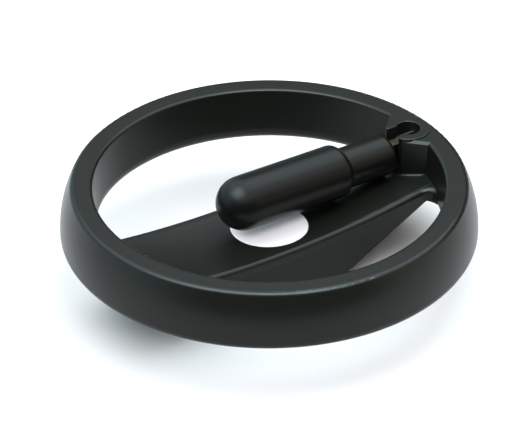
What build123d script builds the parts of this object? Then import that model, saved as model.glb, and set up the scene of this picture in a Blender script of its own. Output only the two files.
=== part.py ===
from build123d import *
from math import asin, atan, cos, degrees, hypot, radians, sin, sqrt, tan
import os

# Two-spoke machine handwheel with a fold-away, revolving crank handle.
# Millimetres. The origin is on the shaft axis at the hub's seat, +Z points up
# along the shaft axis, and +X points from the axis to the handle's pivot boss.
# The handle is shown folded down, lying along the web over the hub.

# ---------------------------------------------------------------- wheel rim
wheel_diameter = 160.0  # across the widest line of the rim
rim_width = 12.7  # from the inner wall's top edge out to the widest line
rim_top_width = 8.2  # flat ring on top, before its edges are rounded
rim_height = 23.1
rim_widest_depth = 18.6  # how far under the top face the rim is widest
rim_inner_draft = 1.4  # the inner wall leans in by this much at its foot
rim_inner_top_round = 1.2
rim_outer_top_round = 2.0
rim_inner_foot_round = 5.6
rim_outer_foot_round = 3.6
hub_drop = 18.0  # the hub's seat lies this far under the rim

# ---------------------------------------------------------------- web with two spokes
web_width = 41.0
web_dish_radius = 410.0  # the web is dished down towards the hub
web_trough = 1.25  # the web's long edges stand this much over its middle line
web_plate = 4.2
web_wall = 3.4
web_edge_round = 2.0
web_edge_band = 4.6  # upright edge of the plate, above the drafted side wall
web_wall_draft = 6.0  # degrees
web_rim_thickness = 2.1  # at the rim, where the sloping underside runs out
web_rim_fillet = 2.9
web_rim_lift = 1.5  # the web's foot on the rim ends this far above the rim's underside
web_rib = 3.0  # rib along the middle of the underside
web_pocket_round = 1.5
seat_length = 27.0  # flat foot of the web's side walls along X
web_end_wall = 0.4  # left between the hollows and the rim's inner wall

# ---------------------------------------------------------------- hub
hub_boss_diameter = 36.0
shaft_bore = 14.0  # H7
keyway_width = 5.0
keyway_height = 16.3  # from the far side of the bore to the keyway's floor
bushing_diameter = 26.0
bushing_groove_width = 3.0
bushing_groove_depth = 1.0
bushing_chamfer = 0.8
cap_diameter = 30.5
cap_thickness = 2.2
cap_rise = 0.1  # how far the cap stands above the middle of the web
cap_edge_round = 0.5
cap_skirt_diameter = 24.0
cap_skirt_wall = 1.4
cap_skirt_depth = 3.0
shaft_screw_space = 6.0  # room under the cap for the shaft's end screw
insert_clearance = 0.02  # between the wheel and what is moulded or pressed into it
cap_clearance = 0.1

# ---------------------------------------------------------------- pivot boss
pivot_inset = 1.3  # the pivot is this far inside the rim's inner wall
pivot_depth = 7.95  # under the rim's top face
nose_radius = 8.7  # upright rounded nose of the boss, and of the collar that stands over the rim
flank_angle = 48.0  # the boss widens to the rim at this angle from X
flank_chamfer = 1.0
boss_foot_round = 1.0
collar_rise = 0.6
collar_edge_round = 0.5
socket_diameter = 9.3  # upright pocket that the tang's eye turns in, open below
slot_floor_gap = 0.5  # between the tang and the floor of its slot
slot_back = 3.6  # the slot's wall on the far side, from the middle
hook_wall = 1.3  # curled lip on the near side of the slot
hook_end_gap = 0.1  # the lip ends this far short of the pocket's middle
slot_mouth_round = 0.9  # on the far side of the slot
hook_nose_round = 2.0  # on the near side
slot_side_clearance = 0.15
seat_overlap = 0.6  # the boss's foot sinks this far into the web

# ---------------------------------------------------------------- pivot pin
pin_diameter = 4.0
pin_length = 15.0
pin_end_chamfer = 0.4
pin_running_clearance = 0.05
pin_snap = 0.3  # the groove that leads up to the pin's seat is narrower than the pin by this

# ---------------------------------------------------------------- tang and rod
handle_tilt = 2.1  # degrees, the folded handle rises towards its free end
tang_thickness = 4.0
eye_radius = 4.1
tang_length = 14.4  # from the pivot to the end of the flat part
tang_end_chamfer = 0.6
rod_diameter = 5.0
rod_running_clearance = 0.05
rod_end_chamfer = 0.6
rod_beyond_nut = 1.5

# ---------------------------------------------------------------- stem
stem_diameter = 16.1
stem_start = 10.2  # from the pivot to the stem's end
stem_length = 21.9  # the part that shows between the boss and the grip
stem_swing_gap = 0.15  # between the stem's hollowed end and the boss as the handle folds
stem_end_round = 2.6
stem_shoulder_round = 0.4
stem_mouth_bore = 10.4
tang_end_gap = 0.4  # between the flat part's end and the mouth's floor
guide_length = 4.0  # wall that slides on the rod
spring_bore = 9.8
spindle_diameter = 13.0
spindle_length = 28.0  # inside the grip
spindle_chamfer = 0.6

# ---------------------------------------------------------------- spring, washer, nut
spring_length = 20.0  # fitted
spring_diameter = 8.0
spring_wire = 1.0
spring_turns = 7.0
washer_diameter = 9.4
washer_thickness = 1.0
nut_width = 8.0  # across flats
nut_height = 4.0
thread_clearance = 0.02

# ---------------------------------------------------------------- snap ring
ring_wire = 1.2
ring_inset = 4.0  # from the spindle's end to the ring
ring_groove_depth = 0.75
ring_groove_play = 0.2  # groove width over the wire
ring_radial_play = 0.15
ring_arc = 310.0  # degrees

# ---------------------------------------------------------------- grip
grip_diameter = 21.1
grip_length = 56.3
grip_wall = 4.0
grip_shoulder_round = 3.6
grip_end_gap = 0.2
grip_mouth_chamfer = 0.2
grip_running_clearance = 0.08
handle_clearance = 0.8  # least gap between the folded handle and the web

# ---------------------------------------------------------------- modelling
cut_margin = 1.0  # how far a cut runs past the face that it opens
edge_left = 0.1  # least length of straight edge that a fillet leaves beside it

# ---------------------------------------------------------------- places worked out
wheel_radius = wheel_diameter / 2
rim_inner_radius = wheel_radius - rim_width
rim_foot_radius = rim_inner_radius - rim_inner_draft
rim_bottom = hub_drop
rim_top = rim_bottom + rim_height

pivot_x = rim_inner_radius - pivot_inset
pivot_z = rim_top - pivot_depth
collar_top = rim_top + collar_rise

tilt = radians(handle_tilt)
handle_direction = Vector(-cos(tilt), 0, sin(tilt))
pivot = Vector(pivot_x, 0, pivot_z)
handle_axis = Axis(pivot, handle_direction)
handle_side = Plane(origin=pivot, x_dir=handle_direction, z_dir=(0, 1, 0))

# Distances along the handle, measured from the pivot
stem_end = stem_start + stem_length
mouth_floor = tang_length + tang_end_gap
spring_start = mouth_floor + guide_length
spring_end = spring_start + spring_length
washer_end = spring_end + washer_thickness
nut_end = washer_end + nut_height
rod_end = nut_end + rod_beyond_nut
spindle_end = stem_end + spindle_length
ring_place = spindle_end - ring_inset
grip_start = stem_end + grip_end_gap
grip_end = grip_start + grip_length

stem_radius = stem_diameter / 2
grip_radius = grip_diameter / 2
spindle_radius = spindle_diameter / 2
grip_bore_radius = spindle_radius + grip_running_clearance


def web_rise(x):
    """Height of the dished web at x over its lowest line."""
    return web_dish_radius - sqrt(web_dish_radius**2 - x**2)


def web_room(along, radius):
    """Highest lowest line of the web that keeps it under a round part of the handle."""
    x = pivot_x - along * cos(tilt)
    lowest = pivot_z + along * sin(tilt) - radius * cos(tilt)
    return lowest - web_rise(x) - handle_clearance


web_top = min(web_room(stem_start, stem_radius), web_room(grip_start + grip_shoulder_round, grip_radius))


def handle_section(along):
    """Plane square to the handle at a distance from the pivot."""
    return Plane(origin=pivot + handle_direction * along, x_dir=(0, 1, 0), z_dir=handle_direction)


# ---------------------------------------------------------------- web
dish_axis = Axis((0, 0, web_top + web_dish_radius), (0, 1, 0))
dish_sweep = 2 * degrees(asin((rim_inner_radius + rim_top_width) / web_dish_radius))
web_foot = -hub_drop
band_foot = web_top + web_trough - web_edge_band
wall_spread = (band_foot - web_foot) * sin(radians(web_wall_draft))
slope_end_z = web_top + web_rise(rim_inner_radius) - web_rim_thickness
slope_rate = slope_end_z / (rim_inner_radius - seat_length / 2)
landing_x = sqrt(rim_foot_radius**2 - (web_width / 2) ** 2)  # where the web's edges meet the rim
landing_z = slope_rate * (landing_x - seat_length / 2)
landing_turn = radians(90) + atan(slope_rate)
landing_foot = rim_bottom + web_rim_lift
landing_round = min(web_rim_fillet, (landing_z - landing_foot - edge_left) / tan(landing_turn / 2))
web_reach = rim_inner_radius + rim_top_width / 2

with BuildPart() as web:
    with BuildSketch(Plane.YZ) as web_section:
        with BuildLine():
            ThreePointArc(
                (-web_width / 2, web_top + web_trough),
                (0, web_top),
                (web_width / 2, web_top + web_trough),
            )
            half = Polyline(
                (0, web_foot),
                (web_width / 2 + wall_spread, web_foot),
                (web_width / 2, band_foot),
                (web_width / 2, web_top + web_trough),
            )
            mirror(half, about=Plane.YZ)
        make_face()
        fillet(web_section.vertices().group_by(Axis.Y)[-1], web_edge_round)
    revolve(axis=dish_axis, revolution_arc=dish_sweep / 2)
    mirror(about=Plane.YZ)
    with BuildSketch(Plane.XZ) as web_outline:
        with BuildLine():
            half = Polyline(
                (0, 0),
                (seat_length / 2, 0),
                (landing_x, landing_z),
                (landing_x, landing_foot),
                (web_reach, landing_foot),
                (web_reach, rim_top),
                (0, rim_top),
            )
            mirror(half, about=Plane.YZ)
        make_face()
        landings = web_outline.vertices().filter_by_position(
            Axis.Y, landing_z - cut_margin, landing_z + cut_margin
        )
        fillet(landings, landing_round)
    extrude(amount=wheel_radius, both=True, mode=Mode.INTERSECT)
    with BuildSketch():
        Circle(web_reach)
    extrude(amount=rim_top, mode=Mode.INTERSECT)

# ---------------------------------------------------------------- hollows under the web
pocket_half = web_width / 2 - web_wall
pocket_top = web_top - web_plate
pocket_foot = web_foot - cut_margin
core_radius = rim_foot_radius - web_end_wall

with BuildPart() as pockets:
    with BuildSketch(Plane.YZ):
        with Locations((0, pocket_top)):
            Rectangle(2 * pocket_half, pocket_top - pocket_foot, align=(Align.CENTER, Align.MAX))
            Rectangle(web_rib, pocket_top - pocket_foot, align=(Align.CENTER, Align.MAX), mode=Mode.SUBTRACT)
    revolve(axis=dish_axis, revolution_arc=dish_sweep / 2)
    mirror(about=Plane.YZ)
    with BuildSketch(Plane.XY.offset(pocket_foot)):
        Circle(core_radius)
        Circle(hub_boss_diameter / 2, mode=Mode.SUBTRACT)
    extrude(amount=rim_top, mode=Mode.INTERSECT)
    fillet(pockets.edges().filter_by(Axis.Z), web_pocket_round)

# ---------------------------------------------------------------- boss that carries the pivot
nose_tip_x = pivot_x - nose_radius
boss_foot = web_top + web_rise(nose_tip_x) - seat_overlap
boss_reach = rim_inner_radius + rim_top_width / 2
flank = radians(flank_angle)
flank_start = (pivot_x - nose_radius * sin(flank), nose_radius * cos(flank))
flank_at_pivot = nose_radius / cos(flank)  # half width of the boss at the pivot
flank_run = boss_reach - flank_start[0] + rim_top_width
flank_end = (flank_start[0] + flank_run, flank_start[1] + flank_run * sin(flank) / cos(flank))
# from the pivot to the far side of the collar's rounded edge
boss_corner = collar_edge_round + hypot(
    nose_radius - collar_edge_round,
    collar_top - pivot_z - collar_edge_round,
)

with BuildPart() as boss:
    with BuildSketch(Plane.XY.offset(boss_foot)):
        with Locations((pivot_x, 0)):
            Circle(nose_radius)
        with BuildLine():
            side = Polyline((pivot_x, 0), flank_start, flank_end, (flank_end[0], 0))
            mirror(side, about=Plane.XZ)
        make_face()
    extrude(amount=rim_top - boss_foot)
    flank_edges = boss.edges().filter_by(GeomType.LINE).group_by(Axis.Z)[-1].filter_by(Axis.Y, reverse=True)
    chamfer(flank_edges, flank_chamfer)
    with BuildSketch(Plane.XY.offset(boss_foot)):
        Circle(boss_reach)
    extrude(amount=rim_top, mode=Mode.INTERSECT)
    with BuildSketch(Plane.XY.offset(boss_foot)):
        with Locations((pivot_x, 0)):
            Circle(nose_radius)
    extrude(amount=collar_top - boss_foot)

# ---------------------------------------------------------------- pocket the tang turns in
socket_radius = socket_diameter / 2
slot_floor = pivot_z - eye_radius - slot_floor_gap
slot_near = tang_thickness / 2 + slot_side_clearance
slot_far_end = nose_tip_x - nose_radius

with BuildPart() as socket:
    with BuildSketch(Plane.XY.offset(slot_floor)):
        with Locations((pivot_x, 0)):
            Circle(socket_radius)
        with Locations((pivot_x, -slot_near)):
            Rectangle(
                pivot_x - slot_far_end,
                slot_near + slot_back,
                align=(Align.MAX, Align.MIN),
            )
        with Locations((pivot_x - hook_end_gap, -slot_near)):
            Rectangle(socket_radius, hook_wall, align=(Align.MAX, Align.MAX), mode=Mode.SUBTRACT)
        with Locations((pivot_x - hook_end_gap, -slot_near - hook_wall / 2)):
            Circle(hook_wall / 2, mode=Mode.SUBTRACT)
    extrude(amount=collar_top - slot_floor + cut_margin)

# ---------------------------------------------------------------- way in from below for the tang and its pin
way_foot = rim_bottom - cut_margin
pin_seat_radius = pin_diameter / 2 + insert_clearance
pin_seat_length = pin_length + 2 * insert_clearance
pin_plane = Plane(origin=pivot, x_dir=(1, 0, 0), z_dir=(0, 1, 0))

with BuildPart() as way_in:
    with BuildSketch(Plane.XY.offset(way_foot)):
        with Locations((pivot_x, 0)):
            Circle(socket_radius)
    extrude(amount=slot_floor - way_foot)
    with BuildSketch(Plane.XY.offset(way_foot)):
        with Locations((pivot_x, 0)):
            Rectangle(pin_diameter - pin_snap, pin_seat_length)
    extrude(amount=pivot_z - way_foot)
    with BuildSketch(pin_plane):
        Circle(pin_seat_radius)
    extrude(amount=pin_seat_length / 2, both=True)

# ---------------------------------------------------------------- wheel body
flare_step = rim_width - rim_top_width
flare_radius = (flare_step**2 + rim_widest_depth**2) / (2 * flare_step)
flare_top_angle = degrees(asin(rim_widest_depth / flare_radius))
flare_foot_angle = degrees(asin((rim_height - rim_widest_depth) / flare_radius))
flare_centre = (wheel_radius - flare_radius, rim_top - rim_widest_depth)

cap_top = web_top + cap_rise
cap_seat = cap_top - cap_thickness
bushing_length = cap_seat - shaft_screw_space
bushing_radius = bushing_diameter / 2
groove_foot = (bushing_length - bushing_groove_width) / 2
groove_radius = bushing_radius - bushing_groove_depth


def slot_lips(body):
    """Upright edges of the slot's mouth, from its near side to its far side."""
    return (
        body.edges()
        .filter_by(Axis.Z)
        .filter_by_position(Axis.Y, -slot_near - insert_clearance, slot_back + insert_clearance)
        .filter_by_position(Axis.X, nose_tip_x, nose_tip_x + slot_mouth_round)
        .filter_by_position(Axis.Z, slot_floor, collar_top)
        .sort_by(Axis.Y)
    )


with BuildPart() as wheel_body:
    with BuildSketch(Plane.XZ) as rim_section:
        with BuildLine():
            flare = CenterArc(
                flare_centre, flare_radius, -flare_foot_angle, flare_top_angle + flare_foot_angle
            )
            Polyline(
                flare @ 1,
                (rim_inner_radius, rim_top),
                (rim_foot_radius, rim_bottom),
                flare @ 0,
            )
        make_face()
        fillet(rim_section.vertices().group_by(Axis.Y)[-1].sort_by(Axis.X)[0], rim_inner_top_round)
        fillet(rim_section.vertices().group_by(Axis.Y)[-1].sort_by(Axis.X)[-1], rim_outer_top_round)
        fillet(rim_section.vertices().group_by(Axis.Y)[0].sort_by(Axis.X)[0], rim_inner_foot_round)
        fillet(rim_section.vertices().group_by(Axis.Y)[0].sort_by(Axis.X)[-1], rim_outer_foot_round)
    revolve(axis=Axis.Z)
    add(web.part)
    with BuildSketch():
        Circle(hub_boss_diameter / 2)
    extrude(amount=web_top - web_plate / 2)
    add(boss.part)
    boss_foot_edges = (
        wheel_body.edges()
        .filter_by(GeomType.BSPLINE)
        .filter_by_position(Axis.X, nose_tip_x - cut_margin, rim_inner_radius)
        .filter_by_position(Axis.Y, -flank_at_pivot, flank_at_pivot)
        .filter_by_position(Axis.Z, boss_foot, pivot_z)
    )
    fillet(boss_foot_edges, boss_foot_round)
    add(pockets.part, mode=Mode.SUBTRACT)
    # foot of the boss under the web
    with BuildSketch(Plane.XY.offset(rim_bottom)):
        with Locations((pivot_x, 0)):
            Circle(nose_radius)
    extrude(amount=boss_foot - rim_bottom)
    add(socket.part, mode=Mode.SUBTRACT)
    # rounded lips of the slot's mouth, then the rounded top edge of the collar and the pocket
    fillet(slot_lips(wheel_body)[-1], slot_mouth_round)
    fillet(slot_lips(wheel_body)[0], hook_nose_round)
    fillet(wheel_body.edges().group_by(Axis.Z)[-1], collar_edge_round)
    add(way_in.part, mode=Mode.SUBTRACT)
    # seat of the cap, room for the shaft's screw, and the bushing's bed
    with BuildSketch(Plane.XY.offset(cap_seat)):
        Circle(cap_diameter / 2)
    extrude(amount=rim_top, mode=Mode.SUBTRACT)
    with BuildSketch():
        Circle(cap_skirt_diameter / 2)
    extrude(amount=cap_seat, mode=Mode.SUBTRACT)
    with BuildSketch():
        Circle(bushing_radius + insert_clearance)
    extrude(amount=bushing_length + insert_clearance, mode=Mode.SUBTRACT)
    with BuildSketch(Plane.XY.offset(groove_foot + insert_clearance)):
        Circle((hub_boss_diameter + bushing_diameter) / 4)
        Circle(groove_radius + insert_clearance, mode=Mode.SUBTRACT)
    extrude(amount=bushing_groove_width - 2 * insert_clearance)
wheel_body.part.label = "wheel_body"

# ---------------------------------------------------------------- hub bushing
with BuildPart() as hub_bushing:
    with BuildSketch():
        Circle(bushing_radius)
    extrude(amount=bushing_length)
    with BuildSketch(Plane.XY.offset(groove_foot)):
        Circle(bushing_radius)
        Circle(groove_radius, mode=Mode.SUBTRACT)
    extrude(amount=bushing_groove_width, mode=Mode.SUBTRACT)
    Hole(radius=shaft_bore / 2)
    bore_edges = hub_bushing.edges().filter_by(GeomType.CIRCLE).filter_by(
        lambda e: abs(e.radius - shaft_bore / 2) < insert_clearance
    )
    chamfer(bore_edges, bushing_chamfer)
    with BuildSketch():
        Rectangle(keyway_width, keyway_height - shaft_bore / 2, align=(Align.CENTER, Align.MIN))
    extrude(amount=bushing_length, mode=Mode.SUBTRACT)
hub_bushing.part.label = "hub_bushing"

# ---------------------------------------------------------------- hub cap
cap_radius = cap_diameter / 2 - cap_clearance
skirt_radius = cap_skirt_diameter / 2 - cap_clearance

with BuildPart() as hub_cap:
    with BuildSketch(Plane.XY.offset(cap_seat)):
        Circle(cap_radius)
    extrude(amount=cap_thickness)
    fillet(hub_cap.edges().group_by(Axis.Z)[-1], cap_edge_round)
    with BuildSketch(Plane.XY.offset(cap_seat - cap_skirt_depth)):
        Circle(skirt_radius)
        Circle(skirt_radius - cap_skirt_wall, mode=Mode.SUBTRACT)
    extrude(amount=cap_skirt_depth)
hub_cap.part.label = "hub_cap"

# ---------------------------------------------------------------- pivot pin
with BuildPart() as pivot_pin:
    with BuildSketch(pin_plane):
        Circle(pin_diameter / 2)
    extrude(amount=pin_length / 2, both=True)
    chamfer(pivot_pin.edges().filter_by(GeomType.CIRCLE), pin_end_chamfer)
pivot_pin.part.label = "pivot_pin"

# ---------------------------------------------------------------- tang and rod
with BuildPart() as tang_rod:
    with BuildSketch(handle_side):
        Circle(eye_radius)
        Rectangle(tang_length, 2 * eye_radius, align=(Align.MIN, Align.CENTER))
    extrude(amount=tang_thickness / 2, both=True)
    tang_corners = tang_rod.edges().filter_by(Axis.Y).filter_by(
        lambda e: (e.center() - pivot).length > tang_length
    )
    chamfer(tang_corners, tang_end_chamfer)
    with BuildSketch(handle_section(tang_length)):
        Circle(rod_diameter / 2)
    extrude(amount=rod_end - tang_length)
    tip = tang_rod.edges().filter_by(GeomType.CIRCLE).sort_by(handle_axis)[-1]
    chamfer(tip, rod_end_chamfer)
    with BuildSketch(pin_plane):
        Circle(pin_diameter / 2 + pin_running_clearance)
    extrude(amount=tang_thickness, both=True, mode=Mode.SUBTRACT)
tang_rod.part.label = "tang_rod"

# ---------------------------------------------------------------- stem
ring_seat_radius = spindle_radius - ring_groove_depth
ring_groove_half = (ring_wire + ring_groove_play) / 2
guide_radius = rod_diameter / 2 + rod_running_clearance
mouth_radius = stem_mouth_bore / 2

with BuildPart() as stem:
    with BuildSketch(handle_side):
        with BuildLine():
            Polyline(
                (stem_start, mouth_radius),
                (stem_start, stem_radius),
                (stem_end, stem_radius),
                (stem_end, spindle_radius),
                (ring_place - ring_groove_half, spindle_radius),
                (ring_place - ring_groove_half, ring_seat_radius),
                (ring_place + ring_groove_half, ring_seat_radius),
                (ring_place + ring_groove_half, spindle_radius),
                (spindle_end - spindle_chamfer, spindle_radius),
                (spindle_end, spindle_radius - spindle_chamfer),
                (spindle_end, spring_bore / 2),
                (spring_start, spring_bore / 2),
                (spring_start, guide_radius),
                (mouth_floor, guide_radius),
                (mouth_floor, mouth_radius),
                close=True,
            )
        make_face()
    revolve(axis=handle_axis)
    stem_rims = stem.edges().filter_by(GeomType.CIRCLE).filter_by(
        lambda e: abs(e.radius - stem_radius) < insert_clearance
    )
    fillet(stem_rims.sort_by(handle_axis)[0], stem_end_round)
    stem_shoulder = stem.edges().filter_by(GeomType.CIRCLE).filter_by(
        lambda e: abs(e.radius - stem_radius) < insert_clearance
    )
    fillet(stem_shoulder.sort_by(handle_axis)[-1], stem_shoulder_round)
    # end hollowed about the pivot, so that it clears the boss's corners
    with Locations(pivot):
        Sphere(boss_corner + stem_swing_gap, mode=Mode.SUBTRACT)
stem.part.label = "stem"

# ---------------------------------------------------------------- return spring
coil_radius = (spring_diameter - spring_wire) / 2

with BuildPart() as return_spring:
    with BuildLine() as coil:
        Helix(
            pitch=spring_length / spring_turns,
            height=spring_length,
            radius=coil_radius,
            center=pivot + handle_direction * spring_start,
            direction=handle_direction,
        )
    with BuildSketch(Plane(origin=coil.line @ 0, z_dir=coil.line % 0)):
        Circle(spring_wire / 2)
    sweep(is_frenet=True)
    split(bisect_by=handle_section(spring_start), keep=Keep.TOP)
    split(bisect_by=handle_section(spring_end), keep=Keep.BOTTOM)
return_spring.part.label = "return_spring"

# ---------------------------------------------------------------- washer and lock nut
rod_hole_radius = rod_diameter / 2 + thread_clearance

with BuildPart() as spring_washer:
    with BuildSketch(handle_section(spring_end)):
        Circle(washer_diameter / 2)
        Circle(rod_hole_radius, mode=Mode.SUBTRACT)
    extrude(amount=washer_thickness)
spring_washer.part.label = "spring_washer"

with BuildPart() as lock_nut:
    with BuildSketch(handle_section(washer_end)):
        RegularPolygon(radius=nut_width / 2, side_count=6, major_radius=False)
        Circle(rod_hole_radius, mode=Mode.SUBTRACT)
    extrude(amount=nut_height)
lock_nut.part.label = "lock_nut"

# ---------------------------------------------------------------- snap ring
ring_radius = ring_seat_radius + ring_wire / 2 + insert_clearance

with BuildPart() as snap_ring:
    with BuildSketch(handle_side):
        with Locations((ring_place, ring_radius)):
            Circle(ring_wire / 2)
    revolve(axis=handle_axis, revolution_arc=ring_arc)
snap_ring.part.label = "snap_ring"

# ---------------------------------------------------------------- grip
dome_centre = grip_end - grip_radius
bore_dome_radius = grip_bore_radius
bore_dome_centre = grip_end - grip_wall - bore_dome_radius
ring_groove_radius = ring_radius + ring_wire / 2 + ring_radial_play

with BuildPart() as grip:
    with BuildSketch(handle_side):
        with BuildLine():
            Polyline(
                (bore_dome_centre, grip_bore_radius),
                (ring_place + ring_groove_half, grip_bore_radius),
                (ring_place + ring_groove_half, ring_groove_radius),
                (ring_place - ring_groove_half, ring_groove_radius),
                (ring_place - ring_groove_half, grip_bore_radius),
                (grip_start + grip_mouth_chamfer, grip_bore_radius),
                (grip_start, grip_bore_radius + grip_mouth_chamfer),
                (grip_start, grip_radius - grip_shoulder_round),
            )
            RadiusArc(
                (grip_start, grip_radius - grip_shoulder_round),
                (grip_start + grip_shoulder_round, grip_radius),
                grip_shoulder_round,
            )
            Line((grip_start + grip_shoulder_round, grip_radius), (dome_centre, grip_radius))
            RadiusArc((dome_centre, grip_radius), (grip_end, 0), grip_radius)
            Line((grip_end, 0), (grip_end - grip_wall, 0))
            RadiusArc((grip_end - grip_wall, 0), (bore_dome_centre, grip_bore_radius), -bore_dome_radius)
        make_face()
    revolve(axis=handle_axis)
grip.part.label = "grip"

# ---------------------------------------------------------------- files
pieces = [
    wheel_body, hub_bushing, hub_cap, pivot_pin, tang_rod, stem,
    return_spring, spring_washer, lock_nut, snap_ring, grip,
]
os.makedirs("parts", exist_ok=True)
for piece in pieces:
    export_step(piece.part, f"parts/{piece.part.label}.step")
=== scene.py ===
from math import asin, atan2, cos, pi, radians, sin, sqrt

import bmesh
import bpy
from mathutils import Matrix, Vector


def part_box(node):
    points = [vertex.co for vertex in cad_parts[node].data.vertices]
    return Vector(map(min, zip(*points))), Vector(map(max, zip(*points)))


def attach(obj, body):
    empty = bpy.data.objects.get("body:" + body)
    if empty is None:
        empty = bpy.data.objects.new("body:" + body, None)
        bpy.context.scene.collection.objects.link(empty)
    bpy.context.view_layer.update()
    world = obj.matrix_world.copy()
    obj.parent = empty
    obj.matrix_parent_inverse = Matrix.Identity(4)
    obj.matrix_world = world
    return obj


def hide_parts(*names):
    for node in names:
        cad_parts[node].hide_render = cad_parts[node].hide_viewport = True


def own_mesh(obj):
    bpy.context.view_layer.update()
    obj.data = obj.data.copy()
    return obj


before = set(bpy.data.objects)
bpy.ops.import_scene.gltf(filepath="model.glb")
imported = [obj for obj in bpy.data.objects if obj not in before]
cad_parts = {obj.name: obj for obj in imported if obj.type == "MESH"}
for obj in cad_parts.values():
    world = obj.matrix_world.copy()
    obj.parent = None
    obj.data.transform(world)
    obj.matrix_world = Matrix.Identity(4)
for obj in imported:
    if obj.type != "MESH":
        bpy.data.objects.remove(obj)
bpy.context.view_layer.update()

scene = bpy.context.scene
MM = 0.001

# ---------------------------------------------------------------- places, from the wheel body's box
wheel_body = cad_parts["wheel_body"]
rim_low, rim_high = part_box("wheel_body")
COLLAR_HEIGHT = 0.6 * MM  # the pivot boss's collar stands this far above the rim's flat top
rim_top = rim_high.z - COLLAR_HEIGHT
floor_height = rim_low.z

# ---------------------------------------------------------------- camera
CAMERA_AZIMUTH = radians(-35.0)
CAMERA_ELEVATION = radians(32.59)
CAMERA_ROLL = radians(-0.264)
CAMERA_DISTANCE = 1.5
CAMERA_CLIP_END = 20
FRAME_WIDTH = 517  # pixels of the picture's frame
FRAME_HEIGHT = 440
PIXELS_PER_METRE = 2630.0  # at the wheel's centre
WHEEL_PIXEL = (269.13, 181.77)  # where the middle of the rim's flat top appears
SENSOR_WIDTH = 36.0


def view_axes(azimuth, elevation):
    """Right, up and back of a camera that looks at the origin from this azimuth and elevation."""
    back = Vector(
        (sin(azimuth) * cos(elevation), -cos(azimuth) * cos(elevation), sin(elevation))
    )
    right = Vector((cos(azimuth), sin(azimuth), 0))
    return right, back.cross(right), back


def add_camera():
    """Long-lens camera that puts the middle of the rim's flat top on its pixel."""
    right, up, back = view_axes(CAMERA_AZIMUTH, CAMERA_ELEVATION)
    wheel_centre = Vector((0, 0, rim_top))
    focal_pixels = PIXELS_PER_METRE * CAMERA_DISTANCE
    offset_right = (WHEEL_PIXEL[0] - FRAME_WIDTH / 2) / PIXELS_PER_METRE
    offset_up = (FRAME_HEIGHT / 2 - WHEEL_PIXEL[1]) / PIXELS_PER_METRE
    place = wheel_centre + back * CAMERA_DISTANCE
    aim = wheel_centre - right * offset_right - up * offset_up
    back = (place - aim).normalized()
    right = Vector((0, 0, 1)).cross(back).normalized()
    up = back.cross(right)
    level = Matrix((right, up, back)).transposed().to_4x4()
    turn = level @ Matrix.Rotation(CAMERA_ROLL, 4, "Z")
    data = bpy.data.cameras.new("camera")
    data.sensor_width = SENSOR_WIDTH
    data.lens = SENSOR_WIDTH * focal_pixels / FRAME_WIDTH
    data.clip_end = CAMERA_CLIP_END
    camera = bpy.data.objects.new("camera", data)
    camera.matrix_world = Matrix.Translation(place) @ turn
    scene.collection.objects.link(camera)
    scene.camera = camera


# ---------------------------------------------------------------- table and light
TABLE_REACH = 4.0
TABLE_FRONT = 0.28  # it ends here, out of the picture, so that the rim's front doesn't mirror it
TABLE_COLOUR = (0.885, 0.85, 0.83)
TABLE_ROUGHNESS = 0.9
TABLE_SPECULAR = 0.1

# Parts of a light tent. Each is nothing beyond the angle clear from its middle, and has its
# whole colour within the angle full.
WALL_ELEVATION = radians(12)
ROOF = {
    "azimuth": 0,
    "elevation": pi / 2,
    "clear": radians(60),
    "full": radians(49),
    "colour": (1.98, 2.0, 2.12),
}
LEFT_WALL = {
    "azimuth": CAMERA_AZIMUTH - radians(109.5),
    "elevation": WALL_ELEVATION,
    "clear": radians(71),
    "full": radians(31.8),
    "colour": (0.85, 1.22, 1.32),
}
RIGHT_WALL = {
    "azimuth": CAMERA_AZIMUTH + radians(87),
    "elevation": WALL_ELEVATION,
    "clear": radians(33.8),
    "full": radians(9.8),
    "colour": (1.0, 1.0, 0.8),
}

KEY_SOFTBOX = {
    "azimuth": CAMERA_AZIMUTH + radians(140),
    "elevation": radians(61),
    "distance": 1.2,
    "side": 0.85,
    "power": 4.8,
    "colour": (0.7, 1.0, 1.05),
}
TOP_SOFTBOX = {
    "azimuth": CAMERA_AZIMUTH - radians(55),
    "elevation": radians(68),
    "distance": 1.0,
    "side": 0.7,
    "power": 14.0,
    "colour": (0.75, 1.0, 1.05),
}
RIM_SOFTBOX = {
    "azimuth": CAMERA_AZIMUTH + radians(24),
    "elevation": radians(67),
    "distance": 1.0,
    "side": 0.5,
    "power": 12.0,
    "colour": (0.75, 1.0, 1.05),
}
CAP_CARD = {
    "azimuth": radians(-45),
    "elevation": radians(42),
    "distance": 0.9,
    "side": 0.3,
    "power": 7.0,
    "colour": (1.0, 0.98, 1.0),
}


def add_table():
    """Pale table that the hub's seat stands on."""
    right, _, back = view_axes(CAMERA_AZIMUTH, 0)
    mesh = bpy.data.meshes.new("ground")
    corners = [
        right * across + back * along
        for across, along in (
            (-TABLE_REACH, -TABLE_REACH),
            (TABLE_REACH, -TABLE_REACH),
            (TABLE_REACH, TABLE_FRONT),
            (-TABLE_REACH, TABLE_FRONT),
        )
    ]
    mesh.from_pydata(
        [(corner.x, corner.y, floor_height) for corner in corners], [], [(0, 1, 2, 3)]
    )
    ground = bpy.data.objects.new("ground", mesh)
    scene.collection.objects.link(ground)
    material, nodes, _ = new_material("ground")
    shader = nodes["Principled BSDF"]
    shader.inputs["Base Color"].default_value = (*TABLE_COLOUR, 1)
    shader.inputs["Roughness"].default_value = TABLE_ROUGHNESS
    shader.inputs["Specular IOR Level"].default_value = TABLE_SPECULAR
    mesh.materials.append(material)


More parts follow.
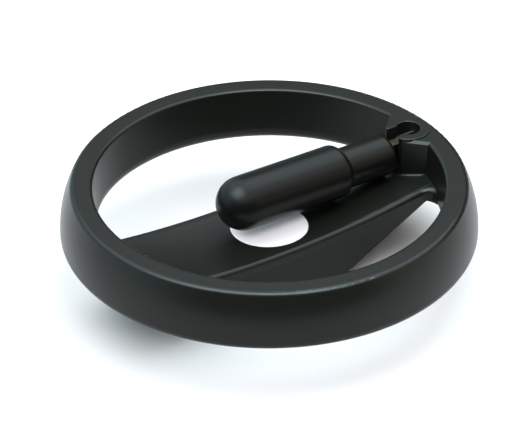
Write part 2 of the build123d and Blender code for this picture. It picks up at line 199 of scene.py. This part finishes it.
def add_softbox(name, azimuth, elevation, distance, side, power, colour):
    """Square area light that faces the wheel."""
    right, up, back = view_axes(azimuth, elevation)
    data = bpy.data.lights.new(name, "AREA")
    data.shape = "SQUARE"
    data.size = side
    data.energy = power
    data.color = colour
    light = bpy.data.objects.new(name, data)
    turn = Matrix((right, up, back)).transposed().to_4x4()
    place = back * distance + Vector((0, 0, rim_top))
    light.matrix_world = Matrix.Translation(place) @ turn
    scene.collection.objects.link(light)
    return light


def sky_part(nodes, links, azimuth, elevation, clear, full, colour):
    """Colour of one part of the light tent."""
    _, _, middle = view_axes(azimuth, elevation)
    place = nodes.new("ShaderNodeTexCoord")
    nearness = nodes.new("ShaderNodeVectorMath")
    nearness.operation = "DOT_PRODUCT"
    nearness.inputs[1].default_value = middle
    links.new(place.outputs["Generated"], nearness.inputs[0])
    fade = nodes.new("ShaderNodeMapRange")
    fade.interpolation_type = "SMOOTHSTEP"
    fade.inputs["From Min"].default_value = cos(clear)
    fade.inputs["From Max"].default_value = cos(full)
    links.new(nearness.outputs["Value"], fade.inputs["Value"])
    tint = nodes.new("ShaderNodeVectorMath")
    tint.operation = "SCALE"
    tint.inputs[0].default_value = colour
    links.new(fade.outputs["Result"], tint.inputs["Scale"])
    return tint.outputs["Vector"]


def add_sky():
    """Light tent round the wheel. The camera itself sees plain white behind the table."""
    world = bpy.data.worlds.new("studio")
    world.use_nodes = True
    nodes, links = world.node_tree.nodes, world.node_tree.links
    total, *others = [sky_part(nodes, links, **part) for part in (ROOF, LEFT_WALL, RIGHT_WALL)]
    for part in others:
        add = nodes.new("ShaderNodeVectorMath")
        links.new(total, add.inputs[0])
        links.new(part, add.inputs[1])
        total = add.outputs["Vector"]
    tent = nodes["Background"]
    links.new(total, tent.inputs["Color"])
    backdrop = nodes.new("ShaderNodeBackground")
    backdrop.inputs["Color"].default_value = (1, 1, 1, 1)
    rays = nodes.new("ShaderNodeLightPath")
    shown = nodes.new("ShaderNodeMixShader")
    links.new(rays.outputs["Is Camera Ray"], shown.inputs["Fac"])
    links.new(tent.outputs["Background"], shown.inputs[1])
    links.new(backdrop.outputs["Background"], shown.inputs[2])
    links.new(shown.outputs["Shader"], nodes["World Output"].inputs["Surface"])
    scene.world = world


def light_only(light, pieces):
    """Lets a light fall on these pieces alone."""
    lit = bpy.data.collections.new(f"lit_by_{light.name}")
    for piece in pieces:
        lit.objects.link(piece)
    light.light_linking.receiver_collection = lit


def add_light():
    """Light tent, and softboxes: a key behind, two above for highlights, and a card for the cap."""
    add_sky()
    add_softbox("key_softbox", **KEY_SOFTBOX)
    top = add_softbox("top_softbox", **TOP_SOFTBOX)
    rim = add_softbox("rim_softbox", **RIM_SOFTBOX)
    card = add_softbox("cap_card", **CAP_CARD)
    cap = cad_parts["hub_cap"]
    pieces = [
        piece for piece in scene.objects if piece.type == "MESH" and piece.name != "ground"
    ]
    roundings = [piece for piece in pieces if piece.name.startswith(("web_", "rim_"))]
    light_only(top, [piece for piece in pieces if piece != cap])
    light_only(rim, [wheel_body, *roundings])
    light_only(card, [cap])


# ---------------------------------------------------------------- wheel body, measured with rays
BEYOND = 0.2  # rays from outside start this far out
# Places as shares of the wheel's radius
ARM_SHARE = 0.6  # along an arm of the web, between the hub and the rim
MIDDLE_SHARE = 0.06  # across an arm, near its middle
SIDE_SHARE = 0.2  # across it, near its long edge
HUB_SHARE = 0.22  # beside the cap
GAP_SHARE = 0.6  # in the gap between the web's middle and the rim
RIM_SHARE = 0.92  # within the rim's own width


def surface_point(start, direction):
    """Where a ray first meets the wheel body."""
    found, place, _, _ = wheel_body.ray_cast(Vector(start), Vector(direction))
    if not found:
        raise ValueError(f"no surface of the wheel body from {tuple(start)}")
    return place


def top_height(x, y):
    """Height of the wheel body's uppermost surface at a place."""
    return surface_point((x, y, BEYOND), (0, 0, -1)).z


def wall_radius(height):
    """Radius of the rim's inner wall at a height, taken where the web is out of the way."""
    return surface_point((0, GAP_SHARE * rim_high.y, height), (0, 1, 0)).y


# The web's top rises along X on an arc, and evenly from its middle towards its long edges
arm_x = ARM_SHARE * rim_high.x
middle_y = MIDDLE_SHARE * rim_high.y
side_y = SIDE_SHARE * rim_high.y
hub_y = HUB_SHARE * rim_high.y
arm_height = top_height(-arm_x, side_y)
web_slope = (arm_height - top_height(-arm_x, middle_y)) / (side_y - middle_y)
hub_height = top_height(0, hub_y) - (hub_y - side_y) * web_slope
dish_rise = arm_height - hub_height
dish_radius = (arm_x**2 + dish_rise**2) / (2 * dish_rise)
rim_underside = surface_point((0, RIM_SHARE * rim_high.y, floor_height - BEYOND), (0, 0, 1)).z


def web_height(x, y):
    """Height of the web's top, without the rounding of its long edges."""
    dish = dish_radius - sqrt(dish_radius**2 - x**2)
    return hub_height + dish + web_slope * (abs(y) - side_y)


# ---------------------------------------------------------------- smooth edges and small roundings
ROUND_STEPS = 10  # in a quarter turn of a rounded edge
PROUD = 0.04 * MM  # an edge's piece covers the solid's own facets by this
SHARP_ANGLE = radians(40)
EDGE_ROUND = 2.0 * MM  # the web's long edges
EDGE_BAND = 4.5 * MM  # upright band under the rounded edge, measured from the web's top
EDGE_DEPTH = 3.4 * MM  # how far an edge's piece reaches over the web's top
EDGE_STEPS = 40
CORNER_ROUND = 4.0 * MM  # seen from above, between the web's side and the rim's inner wall
CORNER_DEPTH = 6.0 * MM  # how far a corner reaches back into the moulding
CORNER_FOOT = 1.5 * MM  # at the wall, a corner ends this far above the rim's underside
CORNER_STEPS = 14
END_ROUND = 1.3 * MM  # seen from the side, between the web's top and the rim's inner wall
END_STEPS = 24  # from the middle of an arm to its side
END_TAPER = 8  # steps over which the rounding runs out at each end
RIM_EDGE_ROUND = 1.2 * MM  # the inner edge of the rim's flat top
RIM_EDGE_SKIRT = 0.4 * MM  # how far its piece goes on down the wall
RIM_EDGE_STEPS = 300
CLEAR_TURN = radians(40)  # this far round from the pivot boss's middle, the wall is clear of it
CLEAR_TURN_STEP = radians(0.5)
web_half_width = surface_point(
    (-arm_x / 2, GAP_SHARE * rim_high.y, hub_height - EDGE_ROUND), (0, -1, 0)
).y


def loft(name, loops):
    """Moulded piece of the wheel through loops of points, with a face over each end."""
    size = len(loops[0])
    faces = [tuple(range(size))]
    for first in range(0, (len(loops) - 1) * size, size):
        for i in range(size):
            j = (i + 1) % size
            faces.append((first + i, first + j, first + size + j, first + size + i))
    faces.append(tuple(range((len(loops) - 1) * size, len(loops) * size)))
    mesh = bpy.data.meshes.new(name)
    mesh.from_pydata([point for loop in loops for point in loop], [], faces)
    work = bmesh.new()
    work.from_mesh(mesh)
    bmesh.ops.recalc_face_normals(work, faces=work.faces)
    work.to_mesh(mesh)
    work.free()
    mesh.shade_smooth()
    mesh.set_sharp_from_angle(angle=SHARP_ANGLE)
    mesh.materials.append(wheel_plastic)
    piece = bpy.data.objects.new(name, mesh)
    scene.collection.objects.link(piece)
    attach(piece, "wheel")


def quarter_turn():
    """Angles of a rounded edge's points, from 0 to a right angle."""
    return [pi / 2 * step / ROUND_STEPS for step in range(ROUND_STEPS + 1)]


def edge_section(depth, foot):
    """Points of the web's rounded edge: depth from its side, and drop below the web's top."""
    rounded = [
        (EDGE_ROUND * (1 - sin(lean)), EDGE_ROUND * (1 - cos(lean))) for lean in quarter_turn()
    ]
    return [(depth, foot), (depth, 0), *rounded, (0, (EDGE_ROUND + foot) / 2), (0, foot)]


def corner_centre(height):
    """Centre of a corner's round at a height, where x and y are positive.

    The third value is the direction from there in which the round meets the rim's wall.
    """
    y = web_half_width + CORNER_ROUND
    x = sqrt((wall_radius(height) - CORNER_ROUND) ** 2 - y**2)
    return x, y, atan2(y, x)


def corner_loop(share, x_sign, y_sign):
    """Section of a corner at a share of the way from the web's side to the rim's wall."""
    high = web_height(corner_centre(hub_height)[0], web_half_width)
    full_foot = high - rim_underside - CORNER_FOOT
    eased = share**2 * (3 - 2 * share)
    foot = EDGE_BAND + (full_foot - EDGE_BAND) * eased
    loop = []
    for depth, drop in edge_section(CORNER_DEPTH, foot):
        x, y, end = corner_centre(high - drop)
        turn = -pi / 2 + (end + pi / 2) * share
        x += (CORNER_ROUND + depth) * cos(turn)
        y += (CORNER_ROUND + depth) * sin(turn)
        top = high if drop == foot else web_height(x, min(y, web_half_width)) + PROUD
        loop.append((x_sign * x, y_sign * y, top - drop))
    return loop


def add_web_edges():
    """Rounded edges along the web, and the inside corners that carry them on into the rim."""
    straight = corner_centre(web_height(arm_x, web_half_width))[0]
    section = edge_section(EDGE_DEPTH, EDGE_BAND)
    for y_sign, side in ((-1, "front"), (1, "back")):
        loops = []
        for step in range(EDGE_STEPS + 1):
            x = straight * (2 * step / EDGE_STEPS - 1)
            loop = []
            for depth, drop in section:
                z = web_height(x, web_half_width - depth) + PROUD - drop
                loop.append((x, y_sign * (web_half_width + PROUD - depth), z))
            loops.append(loop)
        loft(f"web_edge_{side}", loops)
        for x_sign, end in ((-1, "left"), (1, "right")):
            shares = [step / CORNER_STEPS for step in range(CORNER_STEPS + 1)]
            loops = [corner_loop(share, x_sign, y_sign) for share in shares]
            loft(f"web_corner_{end}_{side}", loops)


def add_web_ends():
    """Hollow roundings from the web's top to the rim's wall, which run out at their ends."""
    radius = wall_radius(web_height(arm_x, 0) + EDGE_ROUND)
    half_turn = asin(web_half_width / radius)
    for x_sign, end in ((-1, "left"), (1, "right")):
        loops = []
        for step in range(-END_STEPS, END_STEPS + 1):
            turn = half_turn * step / END_STEPS
            hollow = END_ROUND * min(1, (END_STEPS + 1 - abs(step)) / END_TAPER)
            low = web_height(radius * cos(turn), radius * sin(turn))
            wall = wall_radius(low + hollow)
            section = [(wall + END_ROUND, low - END_ROUND), (wall - hollow, low - END_ROUND)]
            for lean in quarter_turn():
                section.append((wall - hollow * (1 - sin(lean)), low + hollow * (1 - cos(lean))))
            section.append((wall + END_ROUND, low + hollow))
            loops.append([(x_sign * r * cos(turn), r * sin(turn), z) for r, z in section])
        loft(f"web_end_{end}", loops)


def add_rim_edge():
    """Rounded inner edge of the rim's flat top, from one side of the pivot boss to the other."""
    centre_z = rim_top - RIM_EDGE_ROUND
    low_z = centre_z - RIM_EDGE_SKIRT
    wall = wall_radius(low_z)
    start = CLEAR_TURN
    while surface_point((0, 0, low_z), (cos(start), sin(start), 0)).xy.length > wall - PROUD:
        start -= CLEAR_TURN_STEP
    start += CLEAR_TURN_STEP
    centre_r = wall + RIM_EDGE_ROUND
    section = [(centre_r, low_z), (wall - PROUD, low_z)]
    for lean in quarter_turn():
        reach = RIM_EDGE_ROUND + PROUD
        section.append((centre_r - reach * cos(lean), centre_z + reach * sin(lean)))
    loops = []
    for step in range(RIM_EDGE_STEPS + 1):
        turn = start + (2 * pi - 2 * start) * step / RIM_EDGE_STEPS
        loops.append([(r * cos(turn), r * sin(turn), z) for r, z in section])
    loft("rim_edge", loops)


# ---------------------------------------------------------------- return spring
def add_return_coil():
    """Return spring as a copy of its solid that rides on the rod, with the solid itself hidden."""
    coil = bpy.data.objects.new("return_coil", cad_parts["return_spring"].data.copy())
    scene.collection.objects.link(coil)
    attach(coil, "rod")
    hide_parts("return_spring")
    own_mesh(coil)


# ---------------------------------------------------------------- materials
# Scales are the noise's cells in a metre, and details its octaves
GRAIN_SCALE = 2200.0
GRAIN_DETAIL = 2.0
GRAIN_DEPTH = 0.004 * MM
GLOSS_SCALE = 60.0
GLOSS_DETAIL = 3.0
GLOSS_CHANGE = 0.04
BLOTCH_DETAIL = 4.0
BLOTCH_NOISE = (0.3, 0.7)  # noise values that are spread over a blotch's whole range
TARNISH_SCALE = 240.0
WEAR_SCALE = 420.0
WEAR_CHANGE = 0.07
MARK_SCALE = 900.0
MARK_DETAIL = 3.0
MARK_DEPTH = 0.002 * MM


def new_material(name):
    material = bpy.data.materials.new(name)
    material.use_nodes = True
    return material, material.node_tree.nodes, material.node_tree.links


def add_noise(nodes, links, place, scale, detail):
    noise = nodes.new("ShaderNodeTexNoise")
    noise.inputs["Scale"].default_value = scale
    noise.inputs["Detail"].default_value = detail
    links.new(place, noise.inputs["Vector"])
    return noise.outputs["Fac"]


def add_bump(nodes, links, height, depth):
    """Bumps this deep on the material's shader."""
    bump = nodes.new("ShaderNodeBump")
    bump.inputs["Strength"].default_value = 1.0
    bump.inputs["Distance"].default_value = depth
    links.new(height, bump.inputs["Height"])
    links.new(bump.outputs["Normal"], nodes["Principled BSDF"].inputs["Normal"])


def moulded_plastic(name, colour, roughness, ior):
    """Matt moulded plastic: fine spark-eroded grain and slow, faint changes of gloss."""
    material, nodes, links = new_material(name)
    shader = nodes["Principled BSDF"]
    shader.inputs["Base Color"].default_value = (*colour, 1)
    shader.inputs["IOR"].default_value = ior
    place = nodes.new("ShaderNodeTexCoord").outputs["Object"]
    grain = add_noise(nodes, links, place, GRAIN_SCALE, GRAIN_DETAIL)
    add_bump(nodes, links, grain, GRAIN_DEPTH)
    gloss = nodes.new("ShaderNodeMapRange")
    gloss.inputs["To Min"].default_value = roughness - GLOSS_CHANGE
    gloss.inputs["To Max"].default_value = roughness + GLOSS_CHANGE
    links.new(add_noise(nodes, links, place, GLOSS_SCALE, GLOSS_DETAIL), gloss.inputs["Value"])
    links.new(gloss.outputs["Result"], shader.inputs["Roughness"])
    return material


def blotches(nodes, links, place, scale, low, high):
    """Slow noise spread over a range of values."""
    spread = nodes.new("ShaderNodeMapRange")
    spread.inputs["From Min"].default_value = BLOTCH_NOISE[0]
    spread.inputs["From Max"].default_value = BLOTCH_NOISE[1]
    spread.inputs["To Min"].default_value = low
    spread.inputs["To Max"].default_value = high
    links.new(add_noise(nodes, links, place, scale, BLOTCH_DETAIL), spread.inputs["Value"])
    return spread.outputs["Result"]


def metal(name, colour, tarnish, roughness, stretch):
    """Steel with tarnish, and with fine tool or drawing marks along the axes of low stretch."""
    material, nodes, links = new_material(name)
    shader = nodes["Principled BSDF"]
    shader.inputs["Metallic"].default_value = 1.0
    place = nodes.new("ShaderNodeTexCoord").outputs["Object"]
    tint = nodes.new("ShaderNodeMix")
    tint.data_type = "RGBA"
    tint.inputs["A"].default_value = (*colour, 1)
    tint.inputs["B"].default_value = (*tarnish, 1)
    links.new(blotches(nodes, links, place, TARNISH_SCALE, 0.0, 1.0), tint.inputs["Factor"])
    links.new(tint.outputs["Result"], shader.inputs["Base Color"])
    low, high = roughness - WEAR_CHANGE, roughness + WEAR_CHANGE
    links.new(blotches(nodes, links, place, WEAR_SCALE, low, high), shader.inputs["Roughness"])
    drawn = nodes.new("ShaderNodeMapping")
    drawn.inputs["Scale"].default_value = stretch
    links.new(place, drawn.inputs["Vector"])
    marks = add_noise(nodes, links, drawn.outputs["Vector"], MARK_SCALE, MARK_DETAIL)
    add_bump(nodes, links, marks, MARK_DEPTH)
    return material


def dress(node, material):
    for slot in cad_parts[node].material_slots:
        slot.material = material


# ---------------------------------------------------------------- the scene
add_camera()
add_table()
scene.view_settings.view_transform = "Standard"

BLACK = (0.004, 0.004, 0.003)
wheel_plastic = moulded_plastic("wheel_plastic", BLACK, roughness=0.32, ior=1.3)
handle_plastic = moulded_plastic("handle_plastic", BLACK, roughness=0.33, ior=1.26)
cap_plastic = moulded_plastic("cap_plastic", (0.75, 0.74, 0.755), roughness=0.5, ior=1.45)
zinc = metal(
    "zinc_steel",
    colour=(0.095, 0.07, 0.047),
    tarnish=(0.06, 0.046, 0.034),
    roughness=0.42,
    stretch=(0.15, 1.0, 1.0),
)
steel = metal(
    "bright_steel",
    colour=(0.60, 0.60, 0.61),
    tarnish=(0.52, 0.51, 0.50),
    roughness=0.3,
    stretch=(0.1, 0.1, 1.0),
)
spring_wire = metal(
    "spring_wire",
    colour=(0.35, 0.35, 0.36),
    tarnish=(0.28, 0.27, 0.26),
    roughness=0.35,
    stretch=(1.0, 0.2, 0.2),
)

dress("wheel_body", wheel_plastic)
dress("stem", handle_plastic)
dress("grip", handle_plastic)
dress("hub_cap", cap_plastic)
dress("tang_rod", zinc)
dress("spring_washer", zinc)
dress("lock_nut", zinc)
dress("hub_bushing", steel)
dress("pivot_pin", steel)
dress("return_spring", spring_wire)
dress("snap_ring", spring_wire)

add_web_edges()
add_web_ends()
add_rim_edge()
add_return_coil()
add_light()
